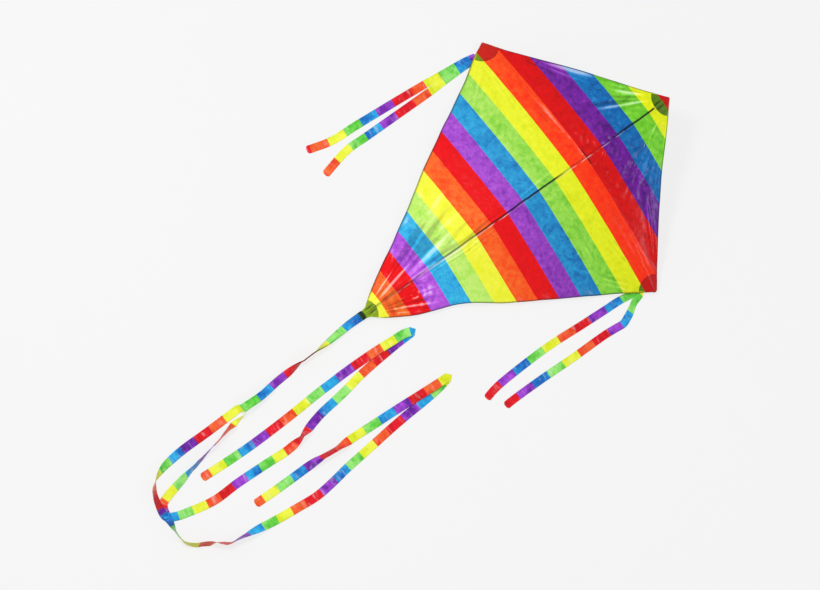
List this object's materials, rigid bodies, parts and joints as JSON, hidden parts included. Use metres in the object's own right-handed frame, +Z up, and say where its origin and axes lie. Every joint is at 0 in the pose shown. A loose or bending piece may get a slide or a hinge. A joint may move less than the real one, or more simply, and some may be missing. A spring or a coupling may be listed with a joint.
{
  "type": "diamond kite",
  "caption": "Child's diamond kite with a striped polyester sail on a spine and bowed cross spar, slit wing streamers and a long slit ribbon tail.",
  "frame": {"origin": "middle of the tail band's flat foot, on the floor that the kite lies on", "axes": "+Y from the tail towards the nose, +X towards the right wing as the face is seen with the nose up, +Z up out of the face"},
  "size_m": [0.6062, 1.2251, 0.1311],
  "materials": {
    "sail_cloth": "glossy coated polyester, printed in six stripe colours",
    "ribbon_cloth": "glossy coated polyester, printed in six segment colours",
    "corner_patch": "dark woven nylon, stitched",
    "edge_binding": "dark narrow tape, stitched",
    "rod": "drawn glass-fibre rod, satin",
    "fitting": "moulded soft plastic, satin"
  },
  "bodies": {
    "kite": {"sail": "sail_cloth", "spine_rod": "rod", "cross_spar": "rod", "centre_connector": "fitting", "nose_cap": "fitting", "tail_cap": "fitting", "left_tip_cap": "fitting", "right_tip_cap": "fitting", "nose_pocket": "corner_patch", "tail_pocket": "corner_patch", "left_tip_pocket": "corner_patch", "right_tip_pocket": "corner_patch", "left_leading_binding": "edge_binding", "right_leading_binding": "edge_binding", "left_trailing_binding": "edge_binding", "right_trailing_binding": "edge_binding", "tail_band": "edge_binding"},
    "left_streamer": {"left_streamer_root": "ribbon_cloth", "left_streamer_outer": "ribbon_cloth", "left_streamer_inner": "ribbon_cloth"},
    "right_streamer": {"right_streamer_root": "ribbon_cloth", "right_streamer_outer": "ribbon_cloth", "right_streamer_inner": "ribbon_cloth"},
    "tail": {"tail_root": "ribbon_cloth", "tail_tongue_a": "ribbon_cloth", "tail_tongue_b": "ribbon_cloth"}
  },
  "joints": [
    {"name": "left_streamer_swing", "type": "hinge", "parent": "kite", "child": "left_streamer", "pos_m": [-0.262, 0.474, 0.004], "axis": [0, 0, 1], "range_deg": [-75, 35]},
    {"name": "right_streamer_swing", "type": "hinge", "parent": "kite", "child": "right_streamer", "pos_m": [0.262, 0.474, 0.004], "axis": [0, 0, 1], "range_deg": [-35, 75]},
    {"name": "tail_swing", "type": "hinge", "parent": "kite", "child": "tail", "pos_m": [0, -0.008, 0.0023], "axis": [0, 0, 1], "range_deg": [-60, 30]}
  ]
}
